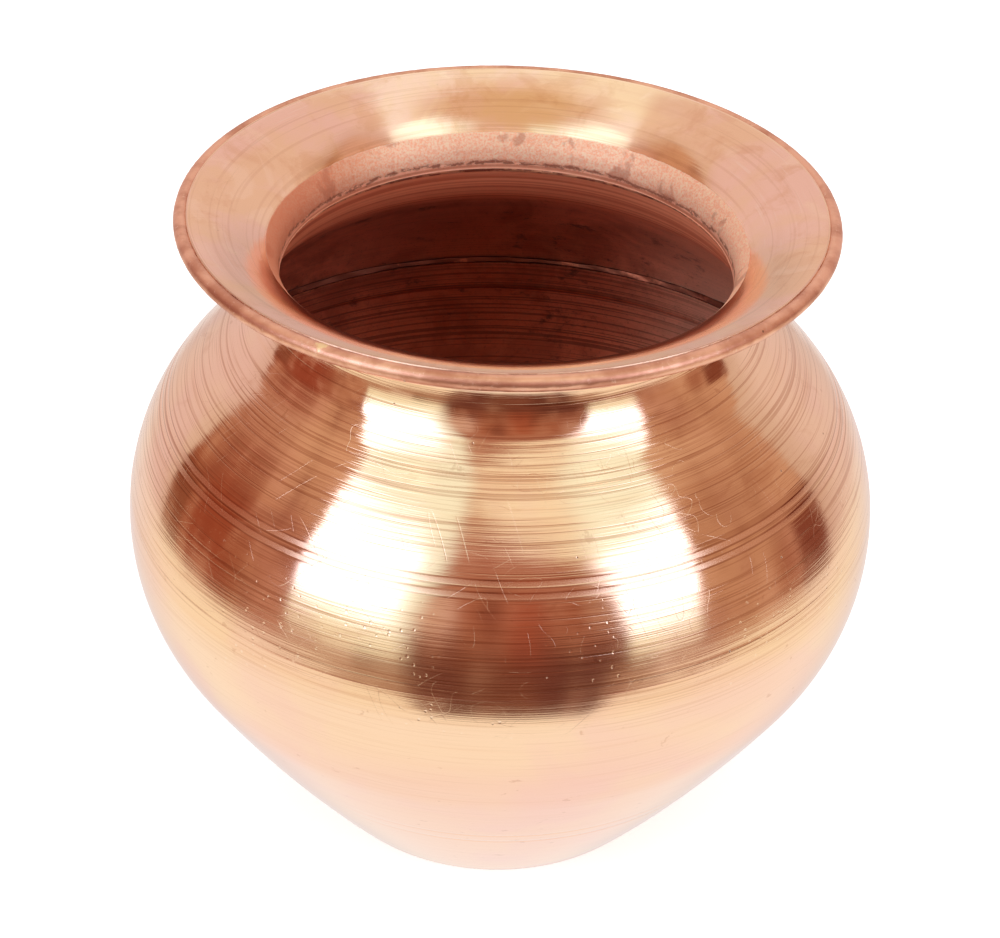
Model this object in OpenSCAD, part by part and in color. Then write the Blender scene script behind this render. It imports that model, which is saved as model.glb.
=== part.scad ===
// Kalash: a wide-mouthed water pot of sheet copper.
// Three turned shells overlap at the belly and at the neck and are brazed there,
// and a wire bead is brazed round the edge of the mouth.
// Each shell is a section turned about Z. A section is a chain of arcs that run
// smoothly into each other. The origin is the centre of the foot. +Z is up.

/* [Bowl] */
// Diameter of the foot, where the flank would meet the ground
base_d = 75; // [70:1:80]
// Radius of the flank in section, from the foot up to the belly
flank_r = 374; // [300:1:450]
// Radius of the turn from the flank to the foot
base_round_r = 2.5; // [2:0.1:4]
// Width of the flat ring that the pot stands on
base_ring_w = 5; // [3:0.5:8]
// Rise of the dished floor above the ground
base_dish_h = 1.6; // [0.8:0.1:2.5]
// Height of the upper scribed line round the bowl
line_z = 28.6; // [20:0.1:34]
// Drop from the upper scribed line to the lower one
line_pitch = 3.6; // [2:0.1:6]
// Width of a scribed line
line_w = 0.6; // [0.4:0.1:1]

/* [Belly] */
// Diameter over the belly
belly_d = 150; // [148:0.5:153]
// Height of the widest point
belly_z = 68; // [62:1:76]
// Radius of the belly in section
belly_round_r = 46.4; // [44:0.1:48]
// Height of the seam outside above the widest point
seam_rise = 9; // [6:0.5:10]
// How far the bowl's edge reaches up inside the shoulder
lap_h = 7; // [5:0.5:8]

/* [Shoulder and neck] */
// Radius of the shoulder in section
shoulder_r = 171; // [155:1:190]
// Height of the neck above the widest point
neck_rise = 54.1; // [53.6:0.1:55.6]
// Diameter over the neck at its narrowest
neck_d = 91.6; // [90.6:0.1:92.6]
// Radius of the hollow turn from the shoulder into the neck
neck_round_r = 14; // [12.5:0.1:15.5]
// Drop from the foot of the shoulder to the upper turned groove, along the belly
groove_drop = 5.1; // [4:0.1:7]
// Distance between the two turned grooves, from middle to middle
groove_pitch = 2.2; // [1.6:0.1:3]
// Width of a groove
groove_w = 1.2; // [0.8:0.1:1.4]
// Depth of a groove and of a scribed line
groove_depth = 0.2; // [0.1:0.05:0.3]

/* [Mouth] */
// Height of the mouth, from the narrowest point of the neck to the top of the lip
mouth_h = 13.4; // [13:0.1:13.8]
// Diameter over the lip
lip_d = 126.3; // [125.5:0.1:127.5]
// Diameter of the wire bead round the lip
bead_d = 3; // [2.6:0.1:3.4]
// Place on the bead where the flare's upper face meets it, in degrees above the horizontal
lip_edge_a = 125; // [120:1:130]
// Radius of the flare in section, inside
flare_r = 31; // [29:0.5:34]
// Radius of the throat in section, inside
throat_round_r = 7.9; // [7.4:0.1:8.4]
// How far the mouth's skirt reaches below the neck
skirt_h = 1.5; // [1:0.1:2.5]

/* [Sheet and braze] */
// Thickness of the sheet
sheet_t = 1; // [0.8:0.05:1.1]
// Thickness of the braze between two sheets
braze_t = 0.2; // [0.1:0.05:0.25]
// Width of a braze fillet
fillet_w = 1.2; // [0.8:0.1:1.4]
// Width of the longer fillet over the collar, under the flare
collar_fillet_w = 1.9; // [1.4:0.1:2.2]

/* [Hidden] */
turn_fn = 180;
// The furthest that a chord lies from its arc.
arc_tol = 0.01;
copper = [0.86, 0.55, 0.38];
dull_copper = [0.66, 0.38, 0.28];
filler = [0.85, 0.68, 0.38];
// The bowl's edge is set in over a slope this many times as long as it is deep.
joggle_slope = 1.5;
// The fillet under the lip reaches this far round the bead, in degrees.
lip_fillet_turn = 45;

// A lap is two sheets with braze between them.
lap_in = sheet_t + braze_t;
lap_t = 2 * sheet_t + braze_t;

// Centres of the arcs, as [radius from the axis, height].
belly_c = [belly_d / 2 - belly_round_r, belly_z];
flank_c = meet(belly_c, flank_r - belly_round_r, [base_d / 2, 0], flank_r, -1);
base_in = sqrt(pow(flank_r - base_round_r, 2) - pow(base_round_r - flank_c[1], 2));
base_c = [flank_c[0] + base_in, base_round_r];
neck_z = belly_z + neck_rise;
neck_c = [neck_d / 2 + neck_round_r, neck_z];
shoulder_c = meet(belly_c, shoulder_r - belly_round_r, neck_c, shoulder_r + neck_round_r, 1);
throat_c = [neck_d / 2 - lap_t + throat_round_r, neck_z];
bead_r = bead_d / 2;
bead_c = [lip_d / 2 - bead_r, neck_z + mouth_h - bead_r];
lip_gap_r = bead_r + braze_t;
lip_edge = polar(bead_c, lip_gap_r, lip_edge_a);
flare_c = meet(throat_c, flare_r - throat_round_r, lip_edge, flare_r, -1);
lip_low = meet(bead_c, lip_gap_r, flare_c, flare_r - sheet_t, -1);

// The dished floor is part of a sphere whose centre is below the ground.
dish_edge = [base_c[0] - base_ring_w, 0];
dish_r = (pow(dish_edge[0], 2) + pow(base_dish_h, 2)) / (2 * base_dish_h);
dish_c = [0, base_dish_h - dish_r];
dish_edge_a = direction(dish_c, dish_edge);
dish_in_edge_a = asin((sheet_t - dish_c[1]) / (dish_r + sheet_t));

// Directions in which neighbouring arcs run into each other.
flank_low_a = direction(flank_c, base_c);
flank_top_a = direction(flank_c, belly_c);
shoulder_low_a = direction(shoulder_c, belly_c);
shoulder_top_a = direction(shoulder_c, neck_c);
flare_low_a = direction(flare_c, throat_c);
flare_top_a = direction(flare_c, lip_edge);

// Middles of the scribed lines and of the turned grooves, the upper one first.
line_a = [for (z = [line_z, line_z - line_pitch]) asin((z - flank_c[1]) / flank_r)];
groove_a = [for (drop = [groove_drop, groove_drop + groove_pitch])
    shoulder_low_a - degrees(drop, belly_round_r)];

// The belly lap, from the seam outside up to the bowl's edge inside.
seam_a = asin(seam_rise / belly_round_r);
joggle_a = seam_a - degrees(joggle_slope * lap_in, belly_round_r);
edge_a = asin((seam_rise + lap_h) / (belly_round_r - lap_in));
belly_fillet_a = edge_a + degrees(fillet_w, belly_round_r);

// The neck lap, from the skirt's edge inside up to the collar's edge outside.
skirt_a = 180 + asin(skirt_h / (neck_round_r + lap_t));
skirt_fillet_a = skirt_a + degrees(fillet_w, neck_round_r);
collar_a = flare_low_a + degrees(collar_fillet_w, throat_round_r);

// The joint between the flare and the bead.
lip_low_a = direction(bead_c, lip_low);
flare_end_a = direction(flare_c, lip_low);
lip_fillet_a = flare_end_a + degrees(fillet_w, flare_r);

function polar(c, r, a) = [c[0] + r * cos(a), c[1] + r * sin(a)];

function direction(from, to) = atan2(to[1] - from[1], to[0] - from[0]);

// The angle that a stretch of arc turns through.
function degrees(stretch, r) = stretch / r * 180 / PI;

// Points along an arc about c, from angle a0 to angle a1.
function arc(c, r, a0, a1) =
    let (n = max(1, ceil(abs(a1 - a0) / (2 * acos(1 - arc_tol / r)))))
    [for (i = [0 : n]) polar(c, r, a0 + (a1 - a0) * i / n)];

// Where two circles meet: side 1 is to the left of the way from c1 to c2, and -1 to the right.
function meet(c1, r1, c2, r2, side) =
    let (d = norm(c2 - c1), u = (c2 - c1) / d)
    let (along = (d * d + r1 * r1 - r2 * r2) / (2 * d))
    let (across = side * sqrt(r1 * r1 - along * along))
    c1 + along * u + across * [-u[1], u[0]];

// A shallow hollow of width w turned into the outside, about the direction mid_a.
function hollow(c, r, mid_a, w) =
    [for (k = [-2 : 2])
        let (f = k / 3)
        polar(c, r - groove_depth * (1 - f * f), mid_a + f * degrees(w, r) / 2)];

// An arc of the outside with two hollows of width w, about the directions [upper, lower].
function grooved_arc(c, r, a0, a1, mids, w) =
    let (half_a = degrees(w, r) / 2)
    concat(
        arc(c, r, a0, mids[1] - half_a),
        hollow(c, r, mids[1], w),
        arc(c, r, mids[1] + half_a, mids[0] - half_a),
        hollow(c, r, mids[0], w),
        arc(c, r, mids[0] + half_a, a1));

// The same list from its last item to its first.
function reversed(list) = [for (i = [len(list) - 1 : -1 : 0]) list[i]];

module turned(outside, inside) {
    rotate_extrude($fn = turn_fn) polygon(concat(outside, reversed(inside)));
}

// The lower shell. Its upper edge is set in by a lap, to sit inside the shoulder.
module bowl_shell() {
    outside = concat(
        arc(dish_c, dish_r, 90, dish_edge_a),
        arc(base_c, base_round_r, -90, flank_low_a),
        grooved_arc(flank_c, flank_r, flank_low_a, flank_top_a, line_a, line_w),
        arc(belly_c, belly_round_r, flank_top_a, joggle_a),
        arc(belly_c, belly_round_r - lap_in, seam_a, edge_a));
    inside = concat(
        arc(dish_c, dish_r + sheet_t, 90, dish_in_edge_a),
        arc(base_c, base_round_r - sheet_t, -90, flank_low_a),
        arc(flank_c, flank_r - sheet_t, flank_low_a, flank_top_a),
        arc(belly_c, belly_round_r - sheet_t, flank_top_a, joggle_a),
        arc(belly_c, belly_round_r - lap_t, seam_a, edge_a));
    color(copper) turned(outside, inside);
}

// Braze in the belly lap: flush in the seam outside, and a fillet on the bowl's edge inside.
module belly_braze() {
    outside = concat(
        [polar(belly_c, belly_round_r, joggle_a), polar(belly_c, belly_round_r, seam_a)],
        arc(belly_c, belly_round_r - sheet_t, seam_a, edge_a),
        [polar(belly_c, belly_round_r - sheet_t, belly_fillet_a)]);
    inside = concat(
        arc(belly_c, belly_round_r - lap_in, seam_a, edge_a),
        [polar(belly_c, belly_round_r - lap_t, edge_a)]);
    color(filler) turned(outside, inside);
}

// The upper shell, from the belly seam to the collar round the throat.
module shoulder_shell() {
    outside = concat(
        grooved_arc(belly_c, belly_round_r, seam_a, shoulder_low_a, groove_a, groove_w),
        arc(shoulder_c, shoulder_r, shoulder_low_a, shoulder_top_a),
        arc(neck_c, neck_round_r, 180 + shoulder_top_a, 180),
        arc(throat_c, throat_round_r - lap_t, 180, collar_a));
    inside = concat(
        arc(belly_c, belly_round_r - sheet_t, seam_a, edge_a),
        arc(belly_c, belly_round_r - sheet_t, belly_fillet_a, shoulder_low_a),
        arc(shoulder_c, shoulder_r - sheet_t, shoulder_low_a, shoulder_top_a),
        arc(neck_c, neck_round_r + sheet_t, 180 + shoulder_top_a, skirt_fillet_a),
        arc(neck_c, neck_round_r + sheet_t, skirt_a, 180),
        arc(throat_c, throat_round_r - lap_in, 180, collar_a));
    color(copper) turned(outside, inside);
}

// Braze in the neck lap, with a fillet under the skirt inside and over the collar outside.
module neck_braze() {
    outside = concat(
        [polar(neck_c, neck_round_r + sheet_t, skirt_fillet_a)],
        arc(neck_c, neck_round_r + sheet_t, skirt_a, 180),
        arc(throat_c, throat_round_r - lap_in, 180, collar_a),
        [polar(throat_c, throat_round_r - lap_t, collar_a)]);
    inside = concat(
        [polar(neck_c, neck_round_r + lap_t, skirt_a)],
        arc(neck_c, neck_round_r + lap_in, skirt_a, 180),
        arc(throat_c, throat_round_r - sheet_t, 180, collar_a),
        arc(throat_c, throat_round_r - sheet_t, collar_a, flare_low_a));
    color(filler) turned(outside, inside);
}

// The trumpet mouth. Its skirt sits inside the collar, and its edge butts on the bead.
module mouth_flare() {
    outside = concat(
        arc(neck_c, neck_round_r + lap_in, skirt_a, 180),
        arc(throat_c, throat_round_r - sheet_t, 180, collar_a),
        arc(throat_c, throat_round_r - sheet_t, collar_a, flare_low_a),
        arc(flare_c, flare_r - sheet_t, flare_low_a, lip_fillet_a),
        arc(bead_c, lip_gap_r, lip_low_a, lip_edge_a));
    inside = concat(
        arc(neck_c, neck_round_r + lap_t, skirt_a, 180),
        arc(throat_c, throat_round_r, 180, flare_low_a),
        arc(flare_c, flare_r, flare_low_a, flare_top_a));
    color(copper) turned(outside, inside);
}

// Braze between the flare's edge and the bead, with a fillet under the edge.
module lip_braze() {
    outside = concat(
        [polar(flare_c, flare_r - sheet_t, lip_fillet_a)],
        arc(bead_c, bead_r, lip_low_a + lip_fillet_turn, lip_edge_a));
    inside = arc(bead_c, lip_gap_r, lip_low_a, lip_edge_a);
    color(filler) turned(outside, inside);
}

// The wire bead that stiffens the lip.
module lip_ring() {
    color(dull_copper) rotate_extrude($fn = turn_fn) translate(bead_c) circle(bead_r, $fn = 48);
}

bowl_shell();
belly_braze();
shoulder_shell();
neck_braze();
mouth_flare();
lip_braze();
lip_ring();
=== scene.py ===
"""A kalash: a wide-mouthed water pot of turned sheet copper, brazed at the belly and at the neck.

Every piece is a section turned about Z, with the tool marks, grooves and dents worked into its mesh.
Lengths are in metres and angles in degrees, unless a comment says otherwise. The foot stands on z = 0,
and the pot's front is the -Y side.
"""
import math

import bmesh
import bpy
import numpy as np
from mathutils import Matrix, Vector


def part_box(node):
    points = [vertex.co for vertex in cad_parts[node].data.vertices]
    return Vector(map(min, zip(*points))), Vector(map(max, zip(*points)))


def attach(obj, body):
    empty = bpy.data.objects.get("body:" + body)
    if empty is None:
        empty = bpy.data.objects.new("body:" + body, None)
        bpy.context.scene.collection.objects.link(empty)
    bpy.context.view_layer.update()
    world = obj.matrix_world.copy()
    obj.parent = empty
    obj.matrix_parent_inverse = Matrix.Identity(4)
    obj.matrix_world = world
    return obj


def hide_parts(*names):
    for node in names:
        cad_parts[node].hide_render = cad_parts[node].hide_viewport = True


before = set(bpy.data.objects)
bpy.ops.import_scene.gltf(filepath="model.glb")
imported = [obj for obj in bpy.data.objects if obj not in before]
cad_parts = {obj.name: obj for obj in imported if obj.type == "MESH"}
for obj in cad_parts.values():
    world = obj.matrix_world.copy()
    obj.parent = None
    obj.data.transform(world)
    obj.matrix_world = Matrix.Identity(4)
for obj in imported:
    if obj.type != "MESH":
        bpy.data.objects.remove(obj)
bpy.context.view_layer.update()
MM = 0.001

# ---------------------------------------------------------------- sizes

# Sizes that the frame gives.
belly_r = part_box("bowl_shell")[1].x
lip_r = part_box("lip_ring")[1].x
lip_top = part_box("lip_ring")[1].z
bead_r = (lip_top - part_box("lip_ring")[0].z) / 2

# The bowl.
base_r = 37.5 * MM
base_round_r = 2.5 * MM
base_ring_w = 5 * MM
base_dish_h = 1.6 * MM
flank_r = 374 * MM
line_heights = (28.6 * MM, 25.0 * MM)
line_w = 0.7 * MM
line_depth = 0.06 * MM

# The belly and the lap where the shoulder slips over the bowl.
belly_z = 68 * MM
belly_round_r = 46.4 * MM
seam_rise = 9 * MM
lap_h = 7 * MM
joggle_slope = 1.5

# The shoulder and the neck.
shoulder_r = 171 * MM
neck_rise = 54.1 * MM
neck_r = 45.8 * MM
neck_round_r = 14 * MM
groove_drops = (5.1 * MM, 7.3 * MM)
groove_w = 1.2 * MM
groove_depth = 0.05 * MM

# The low ridge round the foot of the neck: heights, and how far the wall lies back at each.
neck_ridge = (
    (104.0 * MM, 107.0 * MM, 109.6 * MM, 110.4 * MM, 112.5 * MM,
     113.0 * MM, 113.8 * MM, 114.4 * MM, 117.0 * MM),
    (0.0, -0.09 * MM, -0.23 * MM, -0.23 * MM, -0.01 * MM,
     -0.01 * MM, -0.07 * MM, -0.08 * MM, 0.0))

# The mouth. A drop of braze sits on the lip, this far round to the left of the front, in radians.
lip_edge_a = 125
drop_turn = math.radians(30.5)
flare_r = 31 * MM
throat_round_r = 7.9 * MM
skirt_h = 1.5 * MM
frost_top_z = 127.9 * MM

# Sheet and braze.
sheet_t = 1 * MM
braze_t = 0.2 * MM
fillet_w = 1.2 * MM
collar_fillet_w = 1.9 * MM
lip_fillet_turn = 45
lap_in = sheet_t + braze_t
lap_t = 2 * sheet_t + braze_t

# Depths of the marks that the tool, the file and later knocks left, and of the uneven braze.
coarse_cut = 4e-6
fine_cut = 3e-6
knock = 22e-6
inside_cut = 20e-6
inside_waves = 60e-6
flare_cut = 3e-6
flare_waves = 18e-6
throat_cut = 45e-6
throat_sunk = 60e-6
under_cut = 14e-6
under_waves = 20e-6
filed = 40e-6
scraped = 25e-6
wire_knock = 30e-6
wire_waves = 16e-6
braze_flow = 0.16 * MM
braze_lumps = 0.07 * MM
braze_sunk = 0.20 * MM

# A height above the whole outside wall.
over_all = 140 * MM

# How many points each piece has round the pot.
bowl_segments = 300
shoulder_segments = 360
mouth_segments = 400
braze_segments = 720
bead_segments = 900


# ---------------------------------------------------------------- section geometry

def polar(centre, radius, angle):
    """The point at this angle on a circle in the section plane."""
    turn = math.radians(angle)
    return np.array([centre[0] + radius * math.cos(turn), centre[1] + radius * math.sin(turn)])


def direction(start, end):
    """The angle of the way from start to end."""
    return math.degrees(math.atan2(end[1] - start[1], end[0] - start[0]))


def degrees(stretch, radius):
    """The angle that a stretch of arc turns through."""
    return math.degrees(stretch / radius)


def arc(centre, radius, start, end, step=0.1 * MM):
    """Points along an arc about centre, from angle start to angle end."""
    count = max(2, math.ceil(abs(math.radians(end - start)) * radius / step) + 1)
    return [polar(centre, radius, a) for a in np.linspace(start, end, count)]


def meet(first, first_r, second, second_r, side):
    """Where two circles meet: side 1 is to the left of the way from first to second, -1 to the right."""
    way = np.array(second) - np.array(first)
    gap = np.hypot(*way)
    ahead = way / gap
    along = (gap ** 2 + first_r ** 2 - second_r ** 2) / (2 * gap)
    across = side * math.sqrt(first_r ** 2 - along ** 2)
    return np.array(first) + along * ahead + across * np.array([-ahead[1], ahead[0]])


# Centres of the arcs, as (radius from the axis, height).
belly_c = np.array([belly_r - belly_round_r, belly_z])
flank_c = meet(belly_c, flank_r - belly_round_r, (base_r, 0), flank_r, -1)
base_c = np.array([
    flank_c[0] + math.sqrt((flank_r - base_round_r) ** 2 - (base_round_r - flank_c[1]) ** 2), base_round_r])
neck_z = belly_z + neck_rise
neck_c = np.array([neck_r + neck_round_r, neck_z])
shoulder_c = meet(belly_c, shoulder_r - belly_round_r, neck_c, shoulder_r + neck_round_r, 1)
throat_c = np.array([neck_r - lap_t + throat_round_r, neck_z])
bead_c = np.array([lip_r - bead_r, lip_top - bead_r])
lip_gap_r = bead_r + braze_t
lip_edge = polar(bead_c, lip_gap_r, lip_edge_a)
flare_c = meet(throat_c, flare_r - throat_round_r, lip_edge, flare_r, -1)
lip_low = meet(bead_c, lip_gap_r, flare_c, flare_r - sheet_t, -1)

# The dished floor is part of a sphere whose centre is below the ground.
dish_edge = (base_c[0] - base_ring_w, 0)
dish_r = (dish_edge[0] ** 2 + base_dish_h ** 2) / (2 * base_dish_h)
dish_c = np.array([0, base_dish_h - dish_r])
dish_edge_a = direction(dish_c, dish_edge)
dish_in_edge_a = math.degrees(math.asin((sheet_t - dish_c[1]) / (dish_r + sheet_t)))

# Directions in which neighbouring arcs run into each other.
flank_low_a = direction(flank_c, base_c)
flank_top_a = direction(flank_c, belly_c)
shoulder_low_a = direction(shoulder_c, belly_c)
shoulder_top_a = direction(shoulder_c, neck_c)
flare_low_a = direction(flare_c, throat_c)
flare_top_a = direction(flare_c, lip_edge)

# The belly lap and the neck lap.
seam_a = math.degrees(math.asin(seam_rise / belly_round_r))
joggle_a = seam_a - degrees(joggle_slope * lap_in, belly_round_r)
edge_a = math.degrees(math.asin((seam_rise + lap_h) / (belly_round_r - lap_in)))
belly_fillet_a = edge_a + degrees(fillet_w, belly_round_r)
skirt_a = 180 + math.degrees(math.asin(skirt_h / (neck_round_r + lap_t)))
skirt_fillet_a = skirt_a + degrees(fillet_w, neck_round_r)
collar_a = flare_low_a + degrees(collar_fillet_w, throat_round_r)
lip_low_a = direction(bead_c, lip_low)
lip_fillet_a = direction(flare_c, lip_low) + degrees(fillet_w, flare_r)

groove_heights = [
    polar(belly_c, belly_round_r, shoulder_low_a - degrees(drop, belly_round_r))[1] for drop in groove_drops]

# The whole outside from the foot to the collar: its length along the section gives the tool's travel.
outer_chain = np.array(
    arc(base_c, base_round_r, -90, flank_low_a)
    + arc(flank_c, flank_r, flank_low_a, flank_top_a)
    + arc(belly_c, belly_round_r, flank_top_a, shoulder_low_a)
    + arc(shoulder_c, shoulder_r, shoulder_low_a, shoulder_top_a)
    + arc(neck_c, neck_round_r, 180 + shoulder_top_a, 180)
    + arc(throat_c, throat_round_r - lap_t, 180, collar_a))
outer_travel = base_c[0] + np.concatenate([[0], np.cumsum(np.hypot(*np.diff(outer_chain, axis=0).T))])


def tool_travel(points):
    """How far the turning tool had come at each point, out from the centre of the foot and up the wall."""
    r, z = points[:, 0], points[:, 1]
    on_floor = (r < base_c[0]) & (z < 2 * base_round_r)
    return np.where(on_floor, r, np.interp(z, outer_chain[:, 1], outer_travel))


# ---------------------------------------------------------------- relief

def ring_marks(travel, pitch, seed):
    """Uneven tool marks, from 0 to 1, as a smooth chain of random depths one pitch apart."""
    marks = 4096
    lead = 500
    depths = np.random.default_rng(seed).random(marks)
    place = travel / pitch + lead
    low = np.floor(place).astype(int) % marks
    part = place - np.floor(place)
    part = part * part * (3 - 2 * part)
    return depths[low] * (1 - part) + depths[(low + 1) % marks] * part


def wander(turn, travel, waves, length, seed):
    """Slow random variation round the pot and along the section, from about -1 to 1."""
    ripples = 9
    dice = np.random.default_rng(seed)
    total = np.zeros(np.broadcast(turn, travel).shape)
    for _ in range(ripples):
        around = dice.integers(1, waves + 1)
        along = dice.normal(0, 1 / length)
        phase = dice.uniform(0, 2 * np.pi)
        total += np.sin(around * turn + 2 * np.pi * along * travel + phase)
    return total / 4


def hollow(height, middle, width):
    """1 in the middle of a rounded groove and 0 outside it."""
    return np.clip(1 - (2 * (height - middle) / width) ** 4, 0, 1)


def band(height, low, high, fade):
    """1 between two heights, fading to 0 over the fade on both sides."""
    return np.clip((height - low) / fade, 0, 1) * np.clip((high - height) / fade, 0, 1)


def outside_relief(r, z, travel, turn):
    """How far the tool and later knocks have moved the outside, along its normal."""
    on_belly = band(z, 62 * MM, over_all, 12 * MM)
    on_neck = band(z, 92 * MM, over_all, 10 * MM)
    coarse = ring_marks(travel, 1.0 * MM, 3) * (0.8 + 0.3 * wander(turn, travel, 3, 4 * MM, 4))
    fine = ring_marks(travel, 0.6 * MM, 5) * band(z, 66 * MM, over_all, 8 * MM)
    cut = -coarse_cut * (0.06 + 0.25 * on_belly + 0.75 * on_neck) * coarse - fine_cut * fine
    grooves = sum(hollow(z, middle, groove_w * 0.86) for middle in groove_heights)
    cut = cut - groove_depth * grooves * (0.9 + 0.1 * wander(turn, travel, 4, 9 * MM, 6))
    scribed = sum(hollow(z, middle, line_w) for middle in line_heights)
    cut = cut - line_depth * scribed * np.clip(0.65 + 0.5 * wander(turn, 0 * travel, 5, 1, 7), 0.1, 1)
    dents = knock * (wander(turn, travel, 7, 45 * MM, 8) - 1.3) * band(z, 4 * MM, 124 * MM, 8 * MM)
    return cut + dents + np.interp(z, *neck_ridge)


def inside_relief(r, z, travel, turn):
    """Coarser marks and a less even wall, where no polish ever reached."""
    marks = 0.7 * ring_marks(travel, 1.6 * MM, 13) + ring_marks(travel, 0.9 * MM, 14)
    return -inside_cut * marks + inside_waves * wander(turn, travel, 8, 30 * MM, 15)


def flare_relief(r, z, travel, turn):
    """Light marks on the polished face of the mouth, and a granular throat below it."""
    marks = ring_marks(travel, 0.7 * MM, 21) * (0.7 + 0.4 * wander(turn, travel, 4, 5 * MM, 22))
    dents = flare_waves * wander(turn, travel, 6, 14 * MM, 23)
    throat = np.clip((frost_top_z - z) / (1 * MM), 0, 1)
    ridges = ring_marks(travel, 0.9 * MM, 24) * throat
    return -flare_cut * marks + dents - throat_cut * ridges - throat_sunk * throat


def underside_relief(r, z, travel, turn):
    """Plain tool marks under the mouth."""
    return -under_cut * ring_marks(travel, 0.9 * MM, 31) + under_waves * wander(turn, travel, 6, 12 * MM, 32)


def edge_relief(r, z, travel, turn):
    """A sheet's cut edge, filed by hand."""
    return -filed * (1 + wander(turn, travel, 30, 2 * MM, 41))


def braze_relief(r, z, travel, turn):
    """Braze that ran unevenly along the joint."""
    flow = braze_flow * wander(turn, 0 * travel, 14, 1, 51)
    lumps = braze_lumps * wander(turn, travel, 70, 3 * MM, 52)
    return flow + lumps - braze_sunk


def bead_relief(r, z, travel, turn):
    """A wire that was hammered round and has been knocked since."""
    knocks = np.minimum(0, wander(turn, travel, 60, 5 * MM, 61) + 0.4)
    return wire_knock * knocks + wire_waves * (wander(turn, travel, 160, 1.5 * MM, 62) - 1.5)


def flush_relief(r, z, travel, turn):
    """The belly seam outside: the wall's own marks, scraped a little below it."""
    return outside_relief(r, z, travel, turn) - scraped * (1 + wander(turn, 0 * travel, 70, 1, 71))


# ---------------------------------------------------------------- turned meshes

def thinned(points, spacing):
    """Drops points until neighbours are at least spacing(z) apart, and keeps both ends."""
    kept = [points[0]]
    run = 0.0
    for before, point in zip(points, points[1:]):
        run += float(np.hypot(*(point - before)))
        if run >= spacing(point[1]):
            kept.append(point)
            run = 0.0
    if run > 0:
        if run < spacing(points[-1][1]) / 2 and len(kept) > 2:
            kept.pop()
        kept.append(points[-1])
    return kept


def outside_spacing(z):
    """Rows close together where the wall is grooved or ringed, and wider apart low on the bowl."""
    if any(abs(z - middle) < 0.8 * groove_w for middle in groove_heights):
        return 0.12 * MM
    if any(abs(z - middle) < 0.8 * line_w for middle in line_heights):
        return 0.10 * MM
    if z > 66 * MM:
        return 0.31 * MM
    return 0.9 * MM


def even(spacing):
    """The same spacing at every height."""
    return lambda z: spacing


def own_travel(points):
    """The length along a section from its first point."""
    return np.concatenate([[0], np.cumsum(np.hypot(*np.diff(points, axis=0).T))])


def turned(name, parts, segments, materials, open_ends=False, measure=tool_travel):
    """Turns a section about Z, with its points moved along their normals by the relief of their part.

    parts is a list of (points, spacing, relief, number of the material). The materials read each point's
    travel. A section with open ends starts and stops on the axis.
    """
    rows, numbers, reliefs = [], [], []
    for points, spacing, relief, number in parts:
        kept = thinned(points, spacing)
        if rows and np.hypot(*(rows[-1] - kept[0])) < 1e-6:
            kept = kept[1:]
        rows += kept
        numbers += [number] * len(kept)
        reliefs += [relief] * len(kept)
    points = np.array(rows)
    count = len(points)
    ahead, behind = np.roll(points, -1, axis=0), np.roll(points, 1, axis=0)
    if open_ends:
        ahead[-1], behind[0] = points[-1], points[0]
    along = ahead - behind
    along /= np.hypot(*along.T)[:, None]
    normal = np.stack([along[:, 1], -along[:, 0]], axis=1)
    travel = measure(points)
    turn = np.linspace(0, 2 * np.pi, segments, endpoint=False)
    push = np.zeros((count, segments))
    for relief in dict.fromkeys(reliefs):
        if relief is None:
            continue
        mine = np.array([other is relief for other in reliefs])
        r, z = points[mine, 0][:, None], points[mine, 1][:, None]
        push[mine] = relief(r, z, travel[mine][:, None], turn[None, :])
    radius = points[:, 0][:, None] + normal[:, 0][:, None] * push
    height = points[:, 1][:, None] + normal[:, 1][:, None] * push
    places = np.stack([radius * np.cos(turn), radius * np.sin(turn), height], axis=2)
    places[..., 2] = np.maximum(places[..., 2], 0)
    verts = places.reshape(-1, 3)
    steps = count - 1 if open_ends else count
    low = np.arange(steps)[:, None] * segments
    high = ((np.arange(steps)[:, None] + 1) % count) * segments
    here = np.arange(segments)[None, :]
    there = (here + 1) % segments
    faces = np.stack([low + here, low + there, high + there, high + here], axis=2).reshape(-1, 4)
    numbers = np.array(numbers)
    next_numbers = np.roll(numbers, -1)
    face_numbers = np.repeat(np.maximum(numbers, next_numbers)[:steps], segments)
    mesh = bpy.data.meshes.new(name)
    mesh.from_pydata(verts.tolist(), [], faces.tolist())
    mesh.attributes.new("travel", "FLOAT", "POINT").data.foreach_set("value", np.repeat(travel, segments))
    for material in materials:
        mesh.materials.append(material)
    mesh.polygons.foreach_set("material_index", face_numbers.astype(np.int32))
    mesh.polygons.foreach_set("use_smooth", np.ones(len(faces), dtype=bool))
    if open_ends:
        close_poles(mesh, segments, count)
    mesh.update()
    mesh.set_sharp_from_angle(angle=math.radians(35))
    piece = bpy.data.objects.new(name, mesh)
    bpy.context.scene.collection.objects.link(piece)
    return piece


def close_poles(mesh, segments, count):
    """Draws the first and the last row of a section that ends on the axis together into one point each."""
    shape = bmesh.new()
    shape.from_mesh(mesh)
    shape.verts.ensure_lookup_table()
    ends = shape.verts[:segments] + shape.verts[(count - 1) * segments:]
    bmesh.ops.remove_doubles(shape, verts=ends, dist=1e-7)
    shape.to_mesh(mesh)
    shape.free()


def finished(piece, slot, *nodes):
    """Puts a piece on the pot's one body, in place of its plain solids."""
    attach(piece, "root")
    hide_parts(*nodes)
    return piece


# ---------------------------------------------------------------- node expressions

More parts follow.
